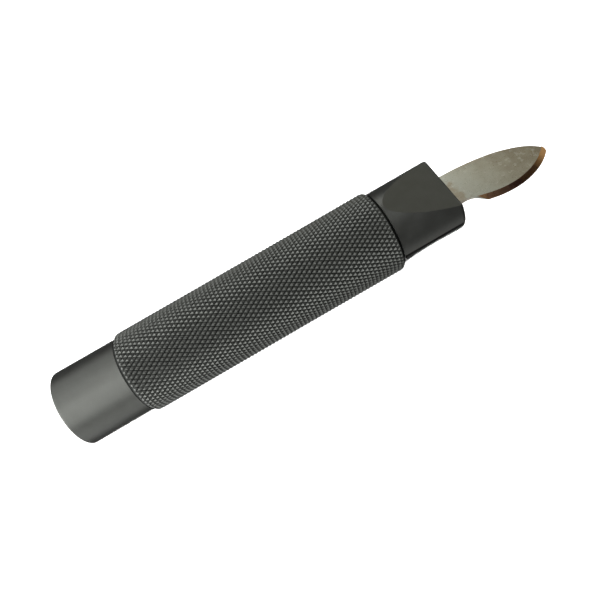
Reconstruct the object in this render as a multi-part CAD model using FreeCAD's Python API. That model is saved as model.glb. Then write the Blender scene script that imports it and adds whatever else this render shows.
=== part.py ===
import FreeCAD, Part
import math
import os

# A bench knife for prising off snap-on watch case backs.  A knurled aluminium handle carries a
# split head, whose two jaws clamp an interchangeable blade, and a screwed cap closes its rear end.
#
# Frame, in millimetres: +X runs along the handle's axis from the rear cap to the blade's point,
# +Z is square to the blade on the side of the head's sloping flat, and the origin is the centre
# of the rear cap's end face.  Everything is drawn with the blade clamped and the cap done up.

OUT_DIR = "parts"

# Handle, outside
KNURL_R = 8.5
COLLAR_R = 7.8
CAP_LENGTH = 13.5
GRIP_END = 69.0
KNURL_CHAMFER_DEG = 45.0
KNURL_EDGE_ROUND = 1.0
RIM_ROUND = 0.35

# Head, outside
SHOULDER_GAP = 0.1
SWING_GAP = 0.3
HEAD_START = GRIP_END + SHOULDER_GAP
LOWER_START = GRIP_END + SWING_GAP
HEAD_END = 82.65
HEAD_ROUND = 0.9
FLAT_FRONT_Z = 4.54
FLAT_SLOPE_DEG = 14.2
FLAT_LEAN_DEG = 3.2
JAW_GAP = 0.7
JAW_LAND_HALF = 4.6
JAW_RELIEF = 0.2
LOWER_WAIST = [(0.0, 0.35), (1.3, 0.75), (2.8, 1.0), (6.1, 1.24), (9.1, 1.22)]
LOWER_RISE = 1.12

# Blade
BLADE_T = 0.66
BLADE_SPINE_Y = 3.95
BLADE_LOWER_Y = -3.68
BLADE_TAIL_X = 71.1
BLADE_BEVEL = 1.05
BLADE_SLOT_R = 1.65
SPINE_ARC_START_X = 83.5
SPINE_POINTS = [(93.8, 2.95), (100.4, 0.6), (103.2, -1.75)]
TIP_MID = (103.85, -2.7)
BELLY_LOW = (94.0, -6.63)
BELLY_TO_TIP = [(100.2, -5.32), (103.22, -3.42)]
BELLY_TO_HEEL = [(88.9, -5.9)]
HEEL_MID = (88.5, -5.7)
HEEL_END = (88.25, -5.4)
NOTCH_START_X = 85.2
NOTCH_END = (87.5, -4.62)

# Bores and shank
SHANK_R = 5.45
BORE_R = 5.5
WEB_START = 45.0
WEB_END = 48.0
SHANK_START = 48.0
FORK_START = 54.0
FORK_END = 62.0
FORK_HALF = 2.55
TONGUE_HALF = 2.45
TONGUE_START = 54.5
TAIL_START = 62.3

# Jaw pivot, opening spring and blade stops
PIVOT_X = 58.0
PIVOT_Z = -2.1
PIVOT_R = 1.0
PIVOT_LENGTH = 8.4
SPRING_X = 66.0
SPRING_HOLE_R = 1.6
SPRING_TOP_Z = 3.1
SPRING_BOTTOM_Z = -2.6
SPRING_MEAN_R = 1.15
SPRING_WIRE_R = 0.2
SPRING_TURNS = 6
STOP_X = 70.25
STOP_Y = 2.8
STOP_R = 0.8
STOP_TOP_Z = 3.7
STOP_BOTTOM_Z = -1.2
STOP_LOWER_HOLE_R = 1.05
STOP_HOLE_SPARE = 0.3

# Clamp screw, its washer and its threaded bush
CLAMP_X = 75.5
CLAMP_R = 1.5
CLAMP_TIP_Z = 4.6
CLAMP_HEAD_R = 2.75
CLAMP_HEAD_H = 2.0
CLAMP_SOCKET_AF = 2.0
CLAMP_SOCKET_DEPTH = 1.3
CLAMP_SEAT_Z = -4.2
CLAMP_HOLE_R = 1.7
COUNTERBORE_R = 3.3
WASHER_T = 0.4
WASHER_R = 2.9
WASHER_BORE_R = 1.6
BUSH_R = 2.1
BUSH_TOP_Z = 4.9
BUSH_SINK = 0.05

# Draw bolt, its washer and the index pin
BOLT_R = 2.0
BOLT_END = 53.6
BOLT_HEAD_R = 3.5
BOLT_HEAD_H = 4.0
BOLT_SOCKET_AF = 3.0
BOLT_SOCKET_DEPTH = 2.0
BOLT_HOLE_R = 2.2
LOCK_WASHER_T = 0.8
LOCK_WASHER_R = 3.65
INDEX_R = 1.0
INDEX_Z = 3.9
INDEX_START = 46.0
INDEX_END = 50.5

# Rear cap, its spigot and its seal
SPIGOT_R = 6.4
SPIGOT_END = 19.5
SPIGOT_LEAD = 0.5
CAP_BORE_R = 4.3
CAP_BORE_START = 3.0
THREAD_BORE_R = 6.5
THREAD_BORE_END = 20.5
SEAL_X = 14.3
SEAL_R = 5.92
SEAL_SECTION_R = 0.55
GROOVE_ROOT_R = 5.36
GROOVE_HALF = 0.6

FIT = 0.01
THREAD_FIT = 0.02
EDGE_BREAK = 0.15
NEAR = 1e-4
BIG = 40.0

X_AXIS = FreeCAD.Vector(1, 0, 0)
Y_AXIS = FreeCAD.Vector(0, 1, 0)
Z_AXIS = FreeCAD.Vector(0, 0, 1)


def vec(x, y, z=0.0):
    return FreeCAD.Vector(x, y, z)


def rod_x(radius, x0, x1, y=0.0, z=0.0):
    """A round bar along X."""
    return Part.makeCylinder(radius, x1 - x0, vec(x0, y, z), X_AXIS)


def rod_z(radius, z0, z1, x, y=0.0):
    """A round bar along Z."""
    return Part.makeCylinder(radius, z1 - z0, vec(x, y, z0), Z_AXIS)


def rod_y(radius, half_length, x, z):
    """A round bar along Y, centred on the handle's mid-plane."""
    return Part.makeCylinder(radius, 2 * half_length, vec(x, -half_length, z), Y_AXIS)


def block(x0, x1, y0, y1, z0, z1):
    return Part.makeBox(x1 - x0, y1 - y0, z1 - z0, vec(x0, y0, z0))


def turned(profile):
    """A solid turned about X from a closed outline of (x, radius) points."""
    points = [vec(x, 0, r) for x, r in profile]
    face = Part.Face(Part.makePolygon(points + points[:1]))
    return face.revolve(vec(0, 0, 0), X_AXIS, 360)


def hex_prism(across_flats, depth):
    """A hexagonal prism along +Z from the XY plane."""
    corner_r = across_flats / math.sqrt(3)
    corners = [
        vec(corner_r * math.cos(math.radians(60 * i)), corner_r * math.sin(math.radians(60 * i)))
        for i in range(7)
    ]
    return Part.Face(Part.makePolygon(corners)).extrude(vec(0, 0, depth))


def cap_screw(radius, length, head_r, head_h, socket_af, socket_depth):
    """A socket head screw along +Z, with the underside of its head on the XY plane."""
    head = Part.makeCylinder(head_r, head_h, vec(0, 0, -head_h), Z_AXIS)
    rims = [e for e in head.Edges if len(e.Vertexes) == 1 and e.Vertexes[0].Point.z < -head_h / 2]
    head = head.makeChamfer(EDGE_BREAK, rims)
    shank = Part.makeCylinder(radius, length)
    tips = [e for e in shank.Edges if len(e.Vertexes) == 1 and e.Vertexes[0].Point.z > length / 2]
    shank = shank.makeChamfer(2 * EDGE_BREAK, tips)
    socket = hex_prism(socket_af, socket_depth)
    socket.translate(vec(0, 0, -head_h))
    return head.fuse(shank).cut(socket).removeSplitter()


def tangent_arcs(start, heading, points):
    """Arcs from start through points, each leaving in the direction in which the last arrived."""
    edges = []
    here = vec(*start)
    direction = vec(*heading).normalize()
    for point in points:
        there = vec(*point)
        chord = there - here
        axis = chord.normalize()
        there_length = (there - here).Length
        turn = math.atan2(direction.cross(axis).z, direction.dot(axis))
        side = vec(-direction.y, direction.x)
        radius = there_length / (2 * math.sin(turn))
        centre = here + side * radius
        middle = centre + rotated(here - centre, turn)
        edges.append(Part.Arc(here, middle, there).toShape())
        direction = rotated(direction, 2 * turn)
        here = there
    return edges, direction


def rotated(vector, angle):
    c, s = math.cos(angle), math.sin(angle)
    return vec(vector.x * c - vector.y * s, vector.x * s + vector.y * c)


def blade_outline():
    """The blade's whole outline, as a wire in the XY plane."""
    spine, _ = tangent_arcs((SPINE_ARC_START_X, BLADE_SPINE_Y), (1, 0), SPINE_POINTS)
    to_tip, _ = tangent_arcs(BELLY_LOW, (1, 0), BELLY_TO_TIP)
    to_heel, _ = tangent_arcs(BELLY_LOW, (-1, 0), BELLY_TO_HEEL)
    notch, _ = tangent_arcs((NOTCH_START_X, BLADE_LOWER_Y), (1, 0), [NOTCH_END])
    tip = Part.Arc(vec(*SPINE_POINTS[-1]), vec(*TIP_MID), vec(*BELLY_TO_TIP[-1])).toShape()
    heel = Part.Arc(vec(*BELLY_TO_HEEL[-1]), vec(*HEEL_MID), vec(*HEEL_END)).toShape()
    straight = [
        (vec(*HEEL_END), vec(*NOTCH_END)),
        (vec(NOTCH_START_X, BLADE_LOWER_Y), vec(BLADE_TAIL_X, BLADE_LOWER_Y)),
        (vec(BLADE_TAIL_X, BLADE_LOWER_Y), vec(BLADE_TAIL_X, BLADE_SPINE_Y)),
        (vec(BLADE_TAIL_X, BLADE_SPINE_Y), vec(SPINE_ARC_START_X, BLADE_SPINE_Y)),
    ]
    lines = [Part.LineSegment(a, b).toShape() for a, b in straight]
    return Part.Wire(Part.sortEdges(spine + to_tip + to_heel + notch + [tip, heel] + lines)[0])


def bevel_envelope():
    """A prism that covers the blade, and slopes in along the belly at the cutting bevel."""
    to_tip, tip_way = tangent_arcs(BELLY_LOW, (1, 0), BELLY_TO_TIP)
    to_heel, heel_way = tangent_arcs(BELLY_LOW, (-1, 0), BELLY_TO_HEEL)
    beyond_tip = vec(*BELLY_TO_TIP[-1]) + tip_way * BIG
    beyond_heel = vec(*BELLY_TO_HEEL[-1]) + heel_way * BIG
    corners = [vec(*BELLY_TO_TIP[-1]), beyond_tip, vec(beyond_tip.x, 2 * BIG)]
    corners += [vec(beyond_heel.x, 2 * BIG), beyond_heel, vec(*BELLY_TO_HEEL[-1])]
    lines = [Part.LineSegment(a, b).toShape() for a, b in zip(corners, corners[1:])]
    foot = Part.Wire(Part.sortEdges(to_tip + to_heel + lines)[0])
    top = foot.makeOffset2D(-BLADE_BEVEL)
    top.translate(vec(0, 0, BLADE_T))
    return Part.makeLoft([foot, top], True, True)


def make_blade():
    """The blade: a fork round the clamp screw, a notch behind the edge, and one cutting bevel."""
    plate = Part.Face(blade_outline()).extrude(vec(0, 0, BLADE_T))
    blade = plate.common(bevel_envelope())
    fork = rod_z(BLADE_SLOT_R, -1, 2, CLAMP_X)
    fork = fork.fuse(block(BLADE_TAIL_X - 1, CLAMP_X, -BLADE_SLOT_R, BLADE_SLOT_R, -1, 2))
    blade = blade.cut(fork)
    blade.translate(vec(0, 0, (JAW_GAP - BLADE_T) / 2))
    return blade


def make_grip():
    """The knurled handle: a socket for the head, a web for its bolt, and a threaded rear bore."""
    rise = (KNURL_R - COLLAR_R) / math.tan(math.radians(KNURL_CHAMFER_DEG))
    body = turned([
        (CAP_LENGTH, 0), (CAP_LENGTH, COLLAR_R), (CAP_LENGTH + rise, KNURL_R),
        (GRIP_END - rise, KNURL_R), (GRIP_END, COLLAR_R), (GRIP_END, 0),
    ])
    crests = [e for e in body.Edges if len(e.Vertexes) == 1 and e.Curve.Radius > KNURL_R - NEAR]
    body = body.makeFillet(KNURL_EDGE_ROUND, crests)
    body = body.cut(rod_x(THREAD_BORE_R, CAP_LENGTH - 1, THREAD_BORE_END))
    body = body.cut(rod_x(BORE_R, THREAD_BORE_END - 1, WEB_START))
    body = body.cut(rod_x(BORE_R, WEB_END, GRIP_END + 1))
    body = body.cut(rod_x(BOLT_HOLE_R, WEB_START - 1, WEB_END + 1))
    return body.cut(rod_x(INDEX_R + FIT, INDEX_START - FIT, WEB_END + 1, z=INDEX_Z))


def sloping_flat():
    """What is milled off above the head's sloping flat, which runs out just in front of the handle."""
    cutter = block(HEAD_START - BIG, HEAD_END + BIG, -BIG, BIG, FLAT_FRONT_Z, FLAT_FRONT_Z + BIG)
    corner = vec(HEAD_END, 0, FLAT_FRONT_Z)
    cutter.rotate(corner, Y_AXIS, FLAT_SLOPE_DEG)
    cutter.rotate(corner, X_AXIS, FLAT_LEAN_DEG)
    return cutter


def round_front(jaw, keep_z):
    """Rounds the front rim of a jaw, except along the face at keep_z that meets the blade."""
    rim = []
    for edge in jaw.Edges:
        box = edge.BoundBox
        on_front = box.XMin > HEAD_END - NEAR
        on_blade_face = max(abs(box.ZMin - keep_z), abs(box.ZMax - keep_z)) < NEAR
        if on_front and not on_blade_face:
            rim.append(edge)
    return jaw.makeFillet(HEAD_ROUND, rim)


def make_upper_jaw():
    """The head's fixed jaw, with the sloping flat, and the shank that the draw bolt pulls home."""
    head = rod_x(COLLAR_R, HEAD_START, HEAD_END)
    head = head.common(block(HEAD_START, HEAD_END, -BIG, BIG, JAW_GAP, BIG))
    head = round_front(head.cut(sloping_flat()), JAW_GAP)
    shank = rod_x(SHANK_R, SHANK_START, HEAD_START)
    shank = shank.cut(block(FORK_END, HEAD_START, -BIG, BIG, -BIG, JAW_GAP))
    shank = shank.cut(block(FORK_START, FORK_END + 1, -FORK_HALF, FORK_HALF, -BIG, JAW_GAP))
    jaw = head.fuse(shank).removeSplitter()
    jaw = jaw.cut(rod_x(BOLT_R + THREAD_FIT, SHANK_START - 1, FORK_START + 1))
    jaw = jaw.cut(rod_x(INDEX_R + FIT, SHANK_START - 1, INDEX_END + FIT, z=INDEX_Z))
    jaw = jaw.cut(rod_y(PIVOT_R + FIT, BIG / 2, PIVOT_X, PIVOT_Z))
    jaw = jaw.cut(rod_z(SPRING_HOLE_R, 0, SPRING_TOP_Z, SPRING_X))
    jaw = jaw.cut(rod_z(BUSH_R, 0, BUSH_TOP_Z + FIT, CLAMP_X))
    for side in (-1, 1):
        jaw = jaw.cut(rod_z(STOP_R + FIT, 0, STOP_TOP_Z + FIT, STOP_X, side * STOP_Y))
    return jaw


def lower_head():
    """The moving jaw's outside: the head's radius about a raised axis, with a flared root."""
    sections = [(LOWER_START + x, rise) for x, rise in LOWER_WAIST] + [(HEAD_END, LOWER_RISE)]
    rings = [
        Part.Wire(Part.Circle(vec(x, 0, rise), X_AXIS, COLLAR_R).toShape()) for x, rise in sections
    ]
    return Part.makeLoft(rings, True).common(block(LOWER_START, HEAD_END, -BIG, BIG, -BIG, 0))


def make_lower_jaw():
    """The moving jaw: a land that clamps the blade, and a tongue that turns on the pivot pin."""
    jaw = round_front(lower_head(), 0)
    for side in (-1, 1):
        y0, y1 = sorted((side * JAW_LAND_HALF, side * BIG))
        jaw = jaw.cut(block(LOWER_START - 1, HEAD_END + 1, y0, y1, -JAW_RELIEF, 1))
    tail = rod_x(SHANK_R, TONGUE_START, LOWER_START, z=LOWER_RISE)
    tail = tail.common(block(TONGUE_START, LOWER_START, -BIG, BIG, -BIG, 0))
    for side in (-1, 1):
        y0, y1 = sorted((side * TONGUE_HALF, side * BIG))
        tail = tail.cut(block(TONGUE_START - 1, TAIL_START, y0, y1, -BIG, BIG))
    jaw = jaw.fuse(tail).removeSplitter()
    jaw = jaw.cut(rod_y(PIVOT_R + 2 * THREAD_FIT, BIG / 2, PIVOT_X, PIVOT_Z))
    jaw = jaw.cut(rod_z(SPRING_HOLE_R, SPRING_BOTTOM_Z, 1, SPRING_X))
    jaw = jaw.cut(rod_z(CLAMP_HOLE_R, -BIG, 1, CLAMP_X))
    jaw = jaw.cut(rod_z(COUNTERBORE_R, -BIG, CLAMP_SEAT_Z, CLAMP_X))
    for side in (-1, 1):
        jaw = jaw.cut(rod_z(STOP_LOWER_HOLE_R, STOP_BOTTOM_Z - STOP_HOLE_SPARE, 1, STOP_X, side * STOP_Y))
    return jaw


def make_clamp_screw():
    """The one screw that closes the jaws, its head sunk in the lower jaw."""
    underside = CLAMP_SEAT_Z - WASHER_T
    screw = cap_screw(
        CLAMP_R, CLAMP_TIP_Z - underside, CLAMP_HEAD_R, CLAMP_HEAD_H,
        CLAMP_SOCKET_AF, CLAMP_SOCKET_DEPTH,
    )
    screw.translate(vec(CLAMP_X, 0, underside))
    return screw


def make_clamp_washer():
    underside = CLAMP_SEAT_Z - WASHER_T
    washer = rod_z(WASHER_R, underside, CLAMP_SEAT_Z, CLAMP_X)
    return washer.cut(rod_z(WASHER_BORE_R, underside - 1, 0, CLAMP_X))


def make_clamp_bush():
    """The steel bush in the upper jaw that takes the clamp screw's thread."""
    bush = rod_z(BUSH_R - FIT, JAW_GAP + BUSH_SINK, BUSH_TOP_Z, CLAMP_X)
    return bush.cut(rod_z(CLAMP_R + THREAD_FIT, 0, BUSH_TOP_Z + 1, CLAMP_X))


def make_pivot_pin():
    return rod_y(PIVOT_R, PIVOT_LENGTH / 2, PIVOT_X, PIVOT_Z)


def make_stop_pins():
    """The two dowels that the blade's fork butts against."""
    pins = [rod_z(STOP_R, STOP_BOTTOM_Z, STOP_TOP_Z, STOP_X, side * STOP_Y) for side in (-1, 1)]
    return Part.makeCompound(pins)


def make_spring():
    """The coil spring that parts the jaws when the clamp screw is slackened."""
    height = SPRING_TOP_Z - SPRING_BOTTOM_Z - 4 * SPRING_WIRE_R
    helix = Part.makeHelix(height / SPRING_TURNS, height, SPRING_MEAN_R)
    start = vec(SPRING_MEAN_R, 0)
    section = Part.Wire(Part.Circle(start, Y_AXIS, SPRING_WIRE_R).toShape())
    pipe = Part.Wire(helix).makePipeShell([section], True, True)
    pipe.translate(vec(SPRING_X, 0, SPRING_BOTTOM_Z + 2 * SPRING_WIRE_R))
    return pipe


def make_draw_bolt():
    """The bolt through the handle's web that pulls the head's shank home."""
    underside = WEB_START - LOCK_WASHER_T
    bolt = cap_screw(
        BOLT_R, BOLT_END - underside, BOLT_HEAD_R, BOLT_HEAD_H, BOLT_SOCKET_AF, BOLT_SOCKET_DEPTH,
    )
    bolt.rotate(vec(0, 0, 0), Y_AXIS, 90)
    bolt.translate(vec(underside, 0, 0))
    return bolt


def make_lock_washer():
    washer = rod_x(LOCK_WASHER_R, WEB_START - LOCK_WASHER_T, WEB_START)
    return washer.cut(rod_x(BOLT_R + 5 * THREAD_FIT, WEB_START - 2, WEB_START + 1))


def make_index_pin():
    """The dowel that keeps the head from turning in the handle."""
    return rod_x(INDEX_R, INDEX_START, INDEX_END, z=INDEX_Z)


def make_rear_cap():
    """The smooth cap that closes the handle, with a threaded spigot and a groove for its seal."""
    cap = rod_x(COLLAR_R, 0, CAP_LENGTH)
    rear = [e for e in cap.Edges if len(e.Vertexes) == 1 and e.Vertexes[0].Point.x < 1]
    cap = cap.makeFillet(RIM_ROUND, rear)
    front = [e for e in cap.Edges if e.BoundBox.XMin > CAP_LENGTH - NEAR]
    cap = cap.makeChamfer(EDGE_BREAK, front)
    spigot = turned([
        (CAP_LENGTH - 1, 0), (CAP_LENGTH - 1, SPIGOT_R),
        (SEAL_X - GROOVE_HALF, SPIGOT_R), (SEAL_X - GROOVE_HALF, GROOVE_ROOT_R),
        (SEAL_X + GROOVE_HALF, GROOVE_ROOT_R), (SEAL_X + GROOVE_HALF, SPIGOT_R),
        (SPIGOT_END - SPIGOT_LEAD, SPIGOT_R), (SPIGOT_END, SPIGOT_R - SPIGOT_LEAD), (SPIGOT_END, 0),
    ])
    return cap.fuse(spigot).cut(rod_x(CAP_BORE_R, CAP_BORE_START, SPIGOT_END + 1))


def make_seal():
    return Part.makeTorus(SEAL_R, SEAL_SECTION_R, vec(SEAL_X, 0, 0), X_AXIS)


NODES = {
    "grip": make_grip,
    "rear_cap": make_rear_cap,
    "cap_seal": make_seal,
    "upper_jaw": make_upper_jaw,
    "lower_jaw": make_lower_jaw,
    "jaw_pivot_pin": make_pivot_pin,
    "jaw_spring": make_spring,
    "blade": make_blade,
    "blade_stop_pins": make_stop_pins,
    "clamp_screw": make_clamp_screw,
    "clamp_washer": make_clamp_washer,
    "clamp_thread_bush": make_clamp_bush,
    "draw_bolt": make_draw_bolt,
    "draw_bolt_washer": make_lock_washer,
    "index_pin": make_index_pin,
}

os.makedirs(OUT_DIR, exist_ok=True)
for name, make in NODES.items():
    shape = make()
    shape.exportStep(os.path.join(OUT_DIR, name + ".step"))
    print(f"{name}: {len(shape.Solids)} solid(s), {shape.Volume:.1f} mm3, valid {shape.isValid()}")
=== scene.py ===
import math

import bmesh
import bpy
import numpy as np
from mathutils import Matrix, Vector


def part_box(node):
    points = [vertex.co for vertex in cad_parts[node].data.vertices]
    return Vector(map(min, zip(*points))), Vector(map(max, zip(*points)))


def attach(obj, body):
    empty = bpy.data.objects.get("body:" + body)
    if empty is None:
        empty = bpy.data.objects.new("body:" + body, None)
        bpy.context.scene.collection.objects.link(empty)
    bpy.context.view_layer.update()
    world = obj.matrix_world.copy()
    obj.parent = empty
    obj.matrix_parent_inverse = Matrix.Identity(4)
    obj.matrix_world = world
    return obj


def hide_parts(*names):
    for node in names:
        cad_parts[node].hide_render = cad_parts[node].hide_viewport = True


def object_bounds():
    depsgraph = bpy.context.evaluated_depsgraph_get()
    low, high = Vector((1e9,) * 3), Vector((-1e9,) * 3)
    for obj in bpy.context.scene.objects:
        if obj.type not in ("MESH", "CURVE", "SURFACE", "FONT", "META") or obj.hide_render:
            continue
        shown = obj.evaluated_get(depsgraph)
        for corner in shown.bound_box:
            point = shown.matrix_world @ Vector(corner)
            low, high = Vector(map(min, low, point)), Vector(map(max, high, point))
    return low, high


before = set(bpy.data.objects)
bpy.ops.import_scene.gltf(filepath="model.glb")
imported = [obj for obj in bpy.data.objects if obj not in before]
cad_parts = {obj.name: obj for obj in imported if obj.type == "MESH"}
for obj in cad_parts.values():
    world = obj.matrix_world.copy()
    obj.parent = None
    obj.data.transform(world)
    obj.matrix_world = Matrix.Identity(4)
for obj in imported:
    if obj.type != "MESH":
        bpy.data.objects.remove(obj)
cad_low, cad_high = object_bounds()

MM = 0.001

# Knurl: two families of V grooves, cut at the same angle to the axis in opposite directions.  The
# groove floors rise between crossings, by KNURL_SADDLE / 2 of the depth at the most.
KNURL_TEETH = 58
KNURL_ANGLE = math.radians(30.3)
KNURL_DEPTH = 0.34 * MM
KNURL_SADDLE = 0.22
KNURL_STEPS = 3
KNURL_EDGE_ROUND = 1.0 * MM
END_ROW = 0.1 * MM

# Bores inside the handle, from its rear end forwards: where each wall ends, and its radius
CAP_THREAD = (7.0 * MM, 6.5 * MM)
REAR_BORE = (31.5 * MM, 5.5 * MM)
WEB_HOLE = (34.5 * MM, 2.2 * MM)
FRONT_BORE_R = 5.5 * MM

# Camera, in the object's frame; the view's middle falls between pixels, so it is turned half a pixel
CAMERA_AT = Vector((46.55, -54.96, 86.26)) * MM
CAMERA_RIGHT = Vector((0.86577, -0.43769, -0.24262))
CAMERA_UP = Vector((0.50024, 0.74322, 0.44429))
CAMERA_LENS = 31.40
SENSOR = 36.0
IMAGE_WIDTH = 600
HALF_PIXEL = math.atan(0.5 / IMAGE_WIDTH * SENSOR / CAMERA_LENS)
CLIP_NEAR = 0.005
CLIP_FAR = 20

# Soft lights: name, azimuth and elevation in degrees, distance, width, height, radiance
SOFTBOXES = [
    ("left", 180, 6, 0.6, 0.70, 0.55, 6.5),
    ("left_low", 188, -24, 0.6, 0.60, 0.42, 3.8),
    ("key", 226, 38, 0.6, 0.55, 0.50, 3.2),
    ("side", 245, 4, 0.6, 0.50, 0.45, 0.8),
    ("side_low", 245, -28, 0.6, 0.45, 0.42, 1.25),
    ("top", 190, 76, 0.6, 0.50, 0.40, 3.0),
    ("back", 76, 42, 0.6, 0.20, 0.26, 3.2),
    ("back_left", 130, 40, 0.6, 0.45, 0.40, 1.6),
    ("right", 45, 32, 0.6, 0.40, 0.40, 0.64),
    ("window", 8, 18, 0.6, 0.40, 0.22, 1.2),
    ("bounce", 90, -60, 0.6, 0.60, 0.40, 13.6),
    ("front_low", 285, -42, 0.6, 0.50, 0.40, 0.6),
]
LIGHT_TINTS = {"right": (1.0, 0.98, 0.80)}
WORLD_GLOW = 0.055

# Stage: a pale floor under the knife and a pale dome around it
STAGE_R = 3.0
STAGE_GLOW = 1.0
STAGE_GREY = 0.8
STAGE_ROUGHNESS = 0.9
DOME_SUBDIVISIONS = 4


# ---- node helpers ----

def new_material(name):
    """An empty node material with an output and a Principled shader."""
    material = bpy.data.materials.new(name)
    material.use_nodes = True
    tree = material.node_tree
    tree.nodes.clear()
    output = tree.nodes.new("ShaderNodeOutputMaterial")
    shader = tree.nodes.new("ShaderNodeBsdfPrincipled")
    tree.links.new(shader.outputs["BSDF"], output.inputs["Surface"])
    return material, tree, shader


def object_point(tree, stretch=(1, 1, 1)):
    """The surface point in the piece's own frame, scaled along each axis."""
    coords = tree.nodes.new("ShaderNodeTexCoord")
    mapping = tree.nodes.new("ShaderNodeMapping")
    mapping.inputs["Scale"].default_value = stretch
    tree.links.new(coords.outputs["Object"], mapping.inputs["Vector"])
    return mapping.outputs["Vector"]


def noise(tree, point, size, detail=2.0, roughness=0.5):
    """A noise value with features of about that size, in metres."""
    node = tree.nodes.new("ShaderNodeTexNoise")
    node.inputs["Scale"].default_value = 1.0 / size
    node.inputs["Detail"].default_value = detail
    node.inputs["Roughness"].default_value = roughness
    tree.links.new(point, node.inputs["Vector"])
    return node.outputs["Fac"]


def spread(tree, value, low, high, to_low=0.0, to_high=1.0):
    """value rescaled from low..high to to_low..to_high, and held at the ends."""
    node = tree.nodes.new("ShaderNodeMapRange")
    node.inputs["From Min"].default_value = low
    node.inputs["From Max"].default_value = high
    node.inputs["To Min"].default_value = to_low
    node.inputs["To Max"].default_value = to_high
    tree.links.new(value, node.inputs["Value"])
    return node.outputs["Result"]


def math_node(tree, operation, a, b=None):
    """The result of that operation on numbers or sockets."""
    node = tree.nodes.new("ShaderNodeMath")
    node.operation = operation
    for socket, value in zip(node.inputs, (a, b)):
        if value is None:
            continue
        if isinstance(value, (int, float)):
            socket.default_value = value
        else:
            tree.links.new(value, socket)
    return node.outputs["Value"]


def ramp(tree, value, stops):
    """A colour ramp: stops are (position, (r, g, b))."""
    node = tree.nodes.new("ShaderNodeValToRGB")
    elements = node.color_ramp.elements
    while len(elements) < len(stops):
        elements.new(0.5)
    for element, (position, colour) in zip(elements, stops):
        element.position = position
        element.color = (*colour, 1)
    tree.links.new(value, node.inputs["Fac"])
    return node.outputs["Color"]


def mix(tree, factor, a, b):
    """Colour a where factor is 0 and colour b where it is 1."""
    node = tree.nodes.new("ShaderNodeMix")
    node.data_type = "RGBA"
    tree.links.new(factor, node.inputs["Factor"])
    for socket, value in ((node.inputs[6], a), (node.inputs[7], b)):
        if isinstance(value, tuple):
            socket.default_value = (*value, 1)
        else:
            tree.links.new(value, socket)
    return node.outputs[2]


def bump(tree, shader, height, distance):
    """Small unevenness in the shader's surface; distance is the bump's full height."""
    node = tree.nodes.new("ShaderNodeBump")
    node.inputs["Strength"].default_value = 1.0
    node.inputs["Distance"].default_value = distance
    tree.links.new(height, node.inputs["Height"])
    tree.links.new(node.outputs["Normal"], shader.inputs["Normal"])


def blend(tree, a, share_a, b, share_b):
    """The two values added up in those shares."""
    part_a = math_node(tree, "MULTIPLY", a, share_a)
    part_b = math_node(tree, "MULTIPLY", b, share_b)
    return math_node(tree, "ADD", part_a, part_b)


def around_zero(tree, value, scale):
    """A noise value moved from around a half to around zero, and scaled."""
    return math_node(tree, "MULTIPLY", math_node(tree, "SUBTRACT", value, 0.5), scale)


def axis_radius(tree, point):
    """Distance from the handle's axis."""
    split = tree.nodes.new("ShaderNodeSeparateXYZ")
    tree.links.new(point, split.inputs["Vector"])
    y2 = math_node(tree, "POWER", split.outputs["Y"], 2.0)
    z2 = math_node(tree, "POWER", split.outputs["Z"], 2.0)
    return math_node(tree, "SQRT", math_node(tree, "ADD", y2, z2))


# ---- materials ----

# Sizes of the textures' features
MOTTLE = 3.0 * MM
GRAIN = 0.09 * MM
PATCH = 0.6 * MM
GRIND_LINE = 0.4 * MM
STEEL_CLOUD = 2.5 * MM
BLADE_LINE = 0.5 * MM
BLADE_CLOUD = 2.0 * MM
SMUDGE_SIZE = 0.9 * MM
OXIDE_MOTTLE = 0.8 * MM
OXIDE_GRAIN = 0.12 * MM
RUBBER_BLOOM = 1.2 * MM
RUBBER_GRAIN = 0.08 * MM

# Heights of the textures' bumps
BLAST_DEPTH = 0.004 * MM
GRIND_DEPTH = 0.002 * MM
BLADE_LINE_DEPTH = 0.0015 * MM
RUBBER_DEPTH = 0.003 * MM

GROUND_STEEL = (0.60, 0.60, 0.60)
SPRING_STEEL = (0.42, 0.42, 0.43)
ANODISED_METALLIC = 0.85
ANODISED_SMOOTH = [(0.30, (0.069, 0.071, 0.065)), (0.70, (0.085, 0.088, 0.081))]

# Blade colours against the share of the way from the head to the point, and how fast the colours
# shift with the distance towards the spine, per metre
FACE_COLOURS = [
    (0.06, (0.40, 0.36, 0.285)), (0.12, (0.49, 0.50, 0.44)), (0.30, (0.47, 0.465, 0.40)),
    (0.55, (0.39, 0.365, 0.30)), (1.0, (0.235, 0.20, 0.15)),
]
FACE_SLANT = 24.0
BLADE_LAY = (1, 9, 9)
SMUDGE = (0.66, 0.65, 0.60)
SMUDGE_SHARE = 0.4
BEVEL_HEEL = (0.19, 0.21)
BEVEL_COLOURS = [
    (0.15, (0.34, 0.21, 0.10)), (0.33, (0.20, 0.11, 0.06)), (0.45, (0.24, 0.14, 0.09)),
    (0.55, (0.13, 0.065, 0.045)), (0.75, (0.24, 0.125, 0.055)), (0.90, (0.36, 0.20, 0.075)),
]

# Knurl colours against the height above the pits: grey on the tooth faces, and painted shade that
# darkens them to near black down in the pits
KNURL_PATCHINESS = 0.3
KNURL_COLOURS_WITH_PIT_SHADE = [
    (0.12, (0.004, 0.005, 0.004)), (0.23, (0.030, 0.032, 0.029)), (0.38, (0.082, 0.085, 0.079)),
    (0.90, (0.110, 0.115, 0.107)),
]


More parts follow.
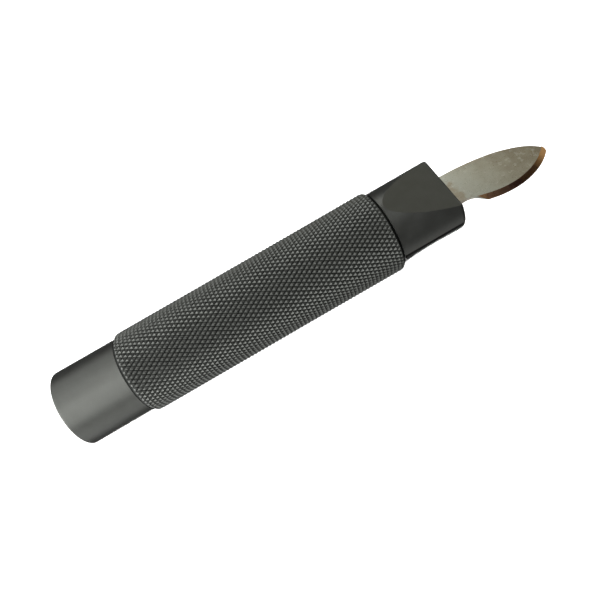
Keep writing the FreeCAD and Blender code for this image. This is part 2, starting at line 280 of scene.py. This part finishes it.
def anodised_smooth():
    """Fine blasted aluminium, anodised dark grey."""
    material, tree, shader = new_material("anodised_smooth")
    point = object_point(tree)
    mottle = noise(tree, point, MOTTLE, 3.0, 0.55)
    grain = noise(tree, point, GRAIN, 3.0, 0.6)
    tone = blend(tree, mottle, 0.6, grain, 0.4)
    tree.links.new(ramp(tree, tone, ANODISED_SMOOTH), shader.inputs["Base Color"])
    tree.links.new(spread(tree, mottle, 0.3, 0.7, 0.37, 0.42), shader.inputs["Roughness"])
    shader.inputs["Metallic"].default_value = ANODISED_METALLIC
    bump(tree, shader, grain, BLAST_DEPTH)
    return material


def anodised_knurl(root_r, crest_r):
    """Anodised aluminium with grey tooth faces, and painted shade that makes the pits black."""
    material, tree, shader = new_material("anodised_knurl")
    point = object_point(tree)
    radius = axis_radius(tree, point)
    height = spread(tree, radius, root_r, crest_r)
    patchy = noise(tree, point, PATCH, 2.0, 0.6)
    grain = noise(tree, point, GRAIN, 2.0, 0.6)
    # Height with random patches mixed in: the ramp paints shade into the low places and makes the pits
    # near black
    pit_shade_and_patches = math_node(tree, "ADD", height, math_node(tree, "MULTIPLY", patchy, KNURL_PATCHINESS))
    level = spread(tree, pit_shade_and_patches, 0.0, 1.0 + KNURL_PATCHINESS)
    tree.links.new(ramp(tree, level, KNURL_COLOURS_WITH_PIT_SHADE), shader.inputs["Base Color"])
    tree.links.new(spread(tree, height, 0.0, 1.0, 0.55, 0.38), shader.inputs["Roughness"])
    shader.inputs["Metallic"].default_value = ANODISED_METALLIC
    bump(tree, shader, grain, BLAST_DEPTH)
    return material


def satin_steel(name, tint, rough=0.3, lay=(1, 14, 14)):
    """Ground steel with fine lines along its length."""
    material, tree, shader = new_material(name)
    lines = noise(tree, object_point(tree, lay), GRIND_LINE, 4.0, 0.6)
    cloud = noise(tree, object_point(tree), STEEL_CLOUD, 2.0, 0.5)
    dark = tuple(0.82 * c for c in tint)
    tone = blend(tree, lines, 0.5, cloud, 0.5)
    tree.links.new(ramp(tree, tone, [(0.3, dark), (0.7, tint)]), shader.inputs["Base Color"])
    tree.links.new(spread(tree, lines, 0.3, 0.7, rough - 0.05, rough + 0.07), shader.inputs["Roughness"])
    shader.inputs["Metallic"].default_value = 1.0
    bump(tree, shader, lines, GRIND_DEPTH)
    return material


def bevel_mask(tree, along):
    """1 on the ground cutting bevel, by its tilt and its place, and 0 on the rest of the blade."""
    coords = tree.nodes.new("ShaderNodeTexCoord")
    facing = tree.nodes.new("ShaderNodeSeparateXYZ")
    tree.links.new(coords.outputs["Normal"], facing.inputs["Vector"])
    tilt = facing.outputs["Z"]
    tilted = math_node(tree, "MULTIPLY", spread(tree, tilt, 0.3, 0.4), spread(tree, tilt, 0.97, 0.95))
    return math_node(tree, "MULTIPLY", tilted, spread(tree, along, *BEVEL_HEEL))


def blade_finish():
    """Satin blade steel: brown at the head, then greyer, browner to the point, with a tempered bevel."""
    head_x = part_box("upper_jaw")[1].x
    tip_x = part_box("blade")[1].x
    material, tree, shader = new_material("blade_satin")
    point = object_point(tree)
    place = tree.nodes.new("ShaderNodeSeparateXYZ")
    tree.links.new(point, place.inputs["Vector"])
    along = spread(tree, place.outputs["X"], head_x, tip_x)
    lines = noise(tree, object_point(tree, BLADE_LAY), BLADE_LINE, 4.0, 0.6)
    cloud = noise(tree, point, BLADE_CLOUD, 3.0, 0.55)
    smudge = spread(tree, noise(tree, point, SMUDGE_SIZE, 4.0, 0.65), 0.57, 0.66)
    wander = around_zero(tree, cloud, 0.5)
    slant = math_node(tree, "MULTIPLY", place.outputs["Y"], FACE_SLANT)
    tone = math_node(tree, "ADD", math_node(tree, "ADD", along, wander), slant)
    face = ramp(tree, tone, FACE_COLOURS)
    face = mix(tree, math_node(tree, "MULTIPLY", smudge, SMUDGE_SHARE), face, SMUDGE)
    fine = around_zero(tree, lines, 0.25)
    bevel_tone = math_node(tree, "ADD", along, math_node(tree, "ADD", fine, wander))
    bevel = ramp(tree, bevel_tone, BEVEL_COLOURS)
    tree.links.new(mix(tree, bevel_mask(tree, along), face, bevel), shader.inputs["Base Color"])
    tree.links.new(spread(tree, lines, 0.3, 0.7, 0.26, 0.36), shader.inputs["Roughness"])
    shader.inputs["Metallic"].default_value = 1.0
    bump(tree, shader, lines, BLADE_LINE_DEPTH)
    return material


def black_oxide():
    """Blackened screw steel, with a slight brown mottle and brighter high spots."""
    material, tree, shader = new_material("black_oxide")
    point = object_point(tree)
    mottle = noise(tree, point, OXIDE_MOTTLE, 4.0, 0.6)
    tree.links.new(
        ramp(tree, mottle, [(0.35, (0.018, 0.018, 0.019)), (0.7, (0.050, 0.046, 0.043))]),
        shader.inputs["Base Color"],
    )
    tree.links.new(spread(tree, mottle, 0.3, 0.7, 0.32, 0.48), shader.inputs["Roughness"])
    shader.inputs["Metallic"].default_value = 0.9
    bump(tree, shader, noise(tree, point, OXIDE_GRAIN, 2.0), BLAST_DEPTH)
    return material


def seal_rubber():
    """Moulded black rubber with a faint grey bloom."""
    material, tree, shader = new_material("seal_rubber")
    point = object_point(tree)
    bloom = noise(tree, point, RUBBER_BLOOM, 3.0, 0.6)
    tree.links.new(
        ramp(tree, bloom, [(0.3, (0.010, 0.010, 0.010)), (0.8, (0.028, 0.028, 0.027))]),
        shader.inputs["Base Color"],
    )
    tree.links.new(spread(tree, bloom, 0.3, 0.7, 0.42, 0.6), shader.inputs["Roughness"])
    bump(tree, shader, noise(tree, point, RUBBER_GRAIN, 2.0), RUBBER_DEPTH)
    return material


# ---- knurled handle ----

def triangle_wave(phase):
    """0 where phase is whole, 1 half-way between."""
    return 1 - np.abs(2 * (phase - np.floor(phase)) - 1)


def knurl_height(theta, x, pitch_x):
    """Height of the pyramids left standing, as a share of the depth, lowest where two grooves cross."""
    turn = KNURL_TEETH * theta / (2 * np.pi)
    one = triangle_wave(turn + x / pitch_x)
    other = triangle_wave(turn - x / pitch_x)
    return (1 - KNURL_SADDLE) * np.minimum(one, other) + KNURL_SADDLE * (one + other) / 2


def rim_radius(inset, end_r, crest_r):
    """Radius of the handle's outline at that distance from its end: a 45 degree chamfer, then an arc."""
    tangent = KNURL_EDGE_ROUND * math.tan(math.radians(22.5))
    arc_end = crest_r - end_r + tangent
    arc_start = crest_r - end_r - tangent * math.cos(math.radians(45))
    along = np.clip(arc_end - inset, 0, KNURL_EDGE_ROUND)
    arc = crest_r - KNURL_EDGE_ROUND + np.sqrt(KNURL_EDGE_ROUND ** 2 - along ** 2)
    return np.where(inset < arc_start, end_r + inset, arc)


def handle_rows(low_x, high_x, pitch_x):
    """x of each ring of vertices along the knurl: close together over the two rounded ends."""
    end = 1.2 * KNURL_EDGE_ROUND
    step = pitch_x / 2 / KNURL_STEPS
    first = math.ceil((low_x + end) / step)
    last = math.floor((high_x - end) / step)
    middle = np.arange(first, last + 1) * step
    count = round(end / END_ROW)
    rear = np.linspace(low_x, middle[0], count, endpoint=False)
    front = np.linspace(middle[-1], high_x, count + 1)[1:]
    return np.concatenate([rear, middle, front])


def knurl_end_radius():
    """The radius at which the end chamfers meet the smooth collar."""
    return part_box("rear_cap")[1].z


def add_grip(material):
    """The handle, knurled outside and bored inside, as one closed mesh of rings about X."""
    low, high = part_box("grip")
    crest_r = high.z
    end_r = knurl_end_radius()
    pitch_x = 2 * math.pi * crest_r / KNURL_TEETH / math.tan(KNURL_ANGLE)
    columns = 2 * KNURL_STEPS * KNURL_TEETH
    theta = np.arange(columns) * 2 * np.pi / columns
    xs = handle_rows(low.x, high.x, pitch_x)
    grid_x, grid_t = np.meshgrid(xs, theta, indexing="ij")
    radius = crest_r - KNURL_DEPTH * (1 - knurl_height(grid_t, grid_x, pitch_x))
    inset = np.minimum(grid_x - low.x, high.x - grid_x)
    radius = np.minimum(radius, rim_radius(inset, end_r, crest_r))
    inner = [
        (high.x, FRONT_BORE_R), (low.x + WEB_HOLE[0], FRONT_BORE_R), (low.x + WEB_HOLE[0], WEB_HOLE[1]),
        (low.x + REAR_BORE[0], WEB_HOLE[1]), (low.x + REAR_BORE[0], REAR_BORE[1]),
        (low.x + CAP_THREAD[0], REAR_BORE[1]), (low.x + CAP_THREAD[0], CAP_THREAD[1]),
        (low.x, CAP_THREAD[1]),
    ]
    inner_x = np.array([x for x, _ in inner])
    inner_r = np.array([r for _, r in inner])
    all_x = np.concatenate([grid_x, np.repeat(inner_x[:, None], columns, 1)])
    all_r = np.concatenate([radius, np.repeat(inner_r[:, None], columns, 1)])
    all_t = np.concatenate([grid_t, np.repeat(theta[None, :], len(inner), 0)])
    points = np.stack([all_x, all_r * np.cos(all_t), all_r * np.sin(all_t)], -1)
    faces = ring_faces(all_r)
    grip = mesh_object("knurled_grip", points.reshape(-1, 3), faces, material)
    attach(grip, "handle")
    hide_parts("grip")
    return grip


def ring_faces(radius):
    """Triangles that join each ring to the next, and the last to the first, split along grooves."""
    rows, columns = radius.shape
    i, j = np.meshgrid(np.arange(rows), np.arange(columns), indexing="ij")
    i2, j2 = (i + 1) % rows, (j + 1) % columns
    a, b, c, d = i * columns + j, i2 * columns + j, i2 * columns + j2, i * columns + j2
    flat = radius.reshape(-1)
    along_ac = (flat[a] + flat[c] <= flat[b] + flat[d])[..., None]
    first = np.where(along_ac, np.stack([a, b, c], -1), np.stack([a, b, d], -1))
    second = np.where(along_ac, np.stack([a, c, d], -1), np.stack([b, c, d], -1))
    return np.concatenate([first.reshape(-1, 3), second.reshape(-1, 3)])


def mesh_object(name, points, faces, material):
    """A new object of those points and faces, with every face turned outwards."""
    mesh = bpy.data.meshes.new(name)
    mesh.from_pydata(points.tolist(), [], faces.tolist())
    mesh.validate()
    thing = bpy.data.objects.new(name, mesh)
    bpy.context.scene.collection.objects.link(thing)
    bm = bmesh.new()
    bm.from_mesh(mesh)
    bmesh.ops.recalc_face_normals(bm, faces=bm.faces)
    bm.to_mesh(mesh)
    bm.free()
    mesh.materials.append(material)
    return thing


# ---- stage ----

def add_camera():
    """The camera that looks at the knife from the side of the head's flat."""
    right = CAMERA_RIGHT.normalized()
    back = right.cross(CAMERA_UP).normalized()
    up = back.cross(right)
    turn = Matrix((right, up, back)).transposed()
    aim = Matrix.Rotation(HALF_PIXEL, 3, "Y") @ Matrix.Rotation(HALF_PIXEL, 3, "X")
    data = bpy.data.cameras.new("camera")
    data.lens = CAMERA_LENS
    data.sensor_width = SENSOR
    data.clip_start = CLIP_NEAR
    data.clip_end = CLIP_FAR
    camera = bpy.data.objects.new("camera", data)
    bpy.context.scene.collection.objects.link(camera)
    camera.matrix_world = Matrix.Translation(CAMERA_AT) @ (turn @ aim).to_4x4()
    bpy.context.scene.camera = camera


def add_softbox(name, azimuth, elevation, distance, width, height, radiance):
    """A rectangular soft light that faces the middle of the object from that direction."""
    data = bpy.data.lights.new(name, "AREA")
    data.shape = "RECTANGLE"
    data.size = width
    data.size_y = height
    data.energy = radiance * math.pi * width * height
    data.color = LIGHT_TINTS.get(name, (1, 1, 1))
    light = bpy.data.objects.new(name, data)
    bpy.context.scene.collection.objects.link(light)
    flat = Vector((math.cos(azimuth), math.sin(azimuth), 0))
    way = flat * math.cos(elevation) + Vector((0, 0, math.sin(elevation)))
    light.location = (cad_low + cad_high) / 2 + way * distance
    light.rotation_mode = "QUATERNION"
    light.rotation_quaternion = way.to_track_quat("Z", "Y")
    light.visible_camera = False


def glow_material(name, one_sided):
    """A pale, evenly glowing surface; a one-sided one can be looked through from its back."""
    material, tree, shader = new_material(name)
    shader.inputs["Base Color"].default_value = (STAGE_GREY, STAGE_GREY, STAGE_GREY, 1)
    shader.inputs["Roughness"].default_value = STAGE_ROUGHNESS
    shader.inputs["Emission Color"].default_value = (1, 1, 1, 1)
    shader.inputs["Emission Strength"].default_value = STAGE_GLOW
    if one_sided:
        side = tree.nodes.new("ShaderNodeNewGeometry")
        clear = tree.nodes.new("ShaderNodeBsdfTransparent")
        either = tree.nodes.new("ShaderNodeMixShader")
        tree.links.new(side.outputs["Backfacing"], either.inputs["Fac"])
        tree.links.new(shader.outputs["BSDF"], either.inputs[1])
        tree.links.new(clear.outputs["BSDF"], either.inputs[2])
        tree.links.new(either.outputs["Shader"], tree.nodes["Material Output"].inputs["Surface"])
    return material


def add_stage_mesh(name, mesh, material):
    """A stage surface that only the camera sees, so that it neither lights nor shades the knife."""
    mesh.materials.append(material)
    stage = bpy.data.objects.new(name, mesh)
    bpy.context.scene.collection.objects.link(stage)
    stage.visible_glossy = False
    stage.visible_diffuse = False
    stage.visible_transmission = False
    stage.visible_shadow = False


def add_floor():
    """A flat pale floor at the knife's lowest point."""
    mesh = bpy.data.meshes.new("floor")
    r, z = STAGE_R, cad_low.z
    corners = [(-r, -r, z), (r, -r, z), (r, r, z), (-r, r, z)]
    mesh.from_pydata(corners, [], [(0, 1, 2, 3)])
    add_stage_mesh("floor", mesh, glow_material("floor", True))


def add_backdrop():
    """A pale dome all round, so that no horizon shows behind the knife."""
    mesh = bpy.data.meshes.new("backdrop")
    bm = bmesh.new()
    bmesh.ops.create_icosphere(bm, subdivisions=DOME_SUBDIVISIONS, radius=STAGE_R)
    bm.to_mesh(mesh)
    bm.free()
    add_stage_mesh("backdrop", mesh, glow_material("backdrop", False))


def add_world():
    """A faint even light from all sides."""
    world = bpy.data.worlds.new("world")
    bpy.context.scene.world = world
    world.use_nodes = True
    background = world.node_tree.nodes["Background"]
    background.inputs["Color"].default_value = (1, 1, 1, 1)
    background.inputs["Strength"].default_value = WORLD_GLOW


# ---- assembly ----

smooth = anodised_smooth()
knurl = anodised_knurl(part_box("grip")[1].z - KNURL_DEPTH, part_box("grip")[1].z)
blade_steel = blade_finish()
bright_steel = satin_steel("ground_steel", GROUND_STEEL)
spring_wire = satin_steel("spring_wire", SPRING_STEEL)
oxide = black_oxide()
rubber = seal_rubber()

add_grip(knurl)

NODE_MATERIALS = {
    "rear_cap": smooth,
    "upper_jaw": smooth,
    "lower_jaw": smooth,
    "blade": blade_steel,
    "cap_seal": rubber,
    "jaw_pivot_pin": bright_steel,
    "jaw_spring": spring_wire,
    "blade_stop_pins": bright_steel,
    "clamp_screw": oxide,
    "clamp_washer": bright_steel,
    "clamp_thread_bush": bright_steel,
    "draw_bolt": oxide,
    "draw_bolt_washer": bright_steel,
    "index_pin": bright_steel,
}
for node, material in NODE_MATERIALS.items():
    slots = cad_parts[node].data.materials
    slots.clear()
    slots.append(material)

bpy.context.scene.view_settings.view_transform = "Standard"
add_camera()
add_world()
add_floor()
add_backdrop()
for name, azimuth, elevation, distance, width, height, radiance in SOFTBOXES:
    add_softbox(name, math.radians(azimuth), math.radians(elevation), distance, width, height, radiance)
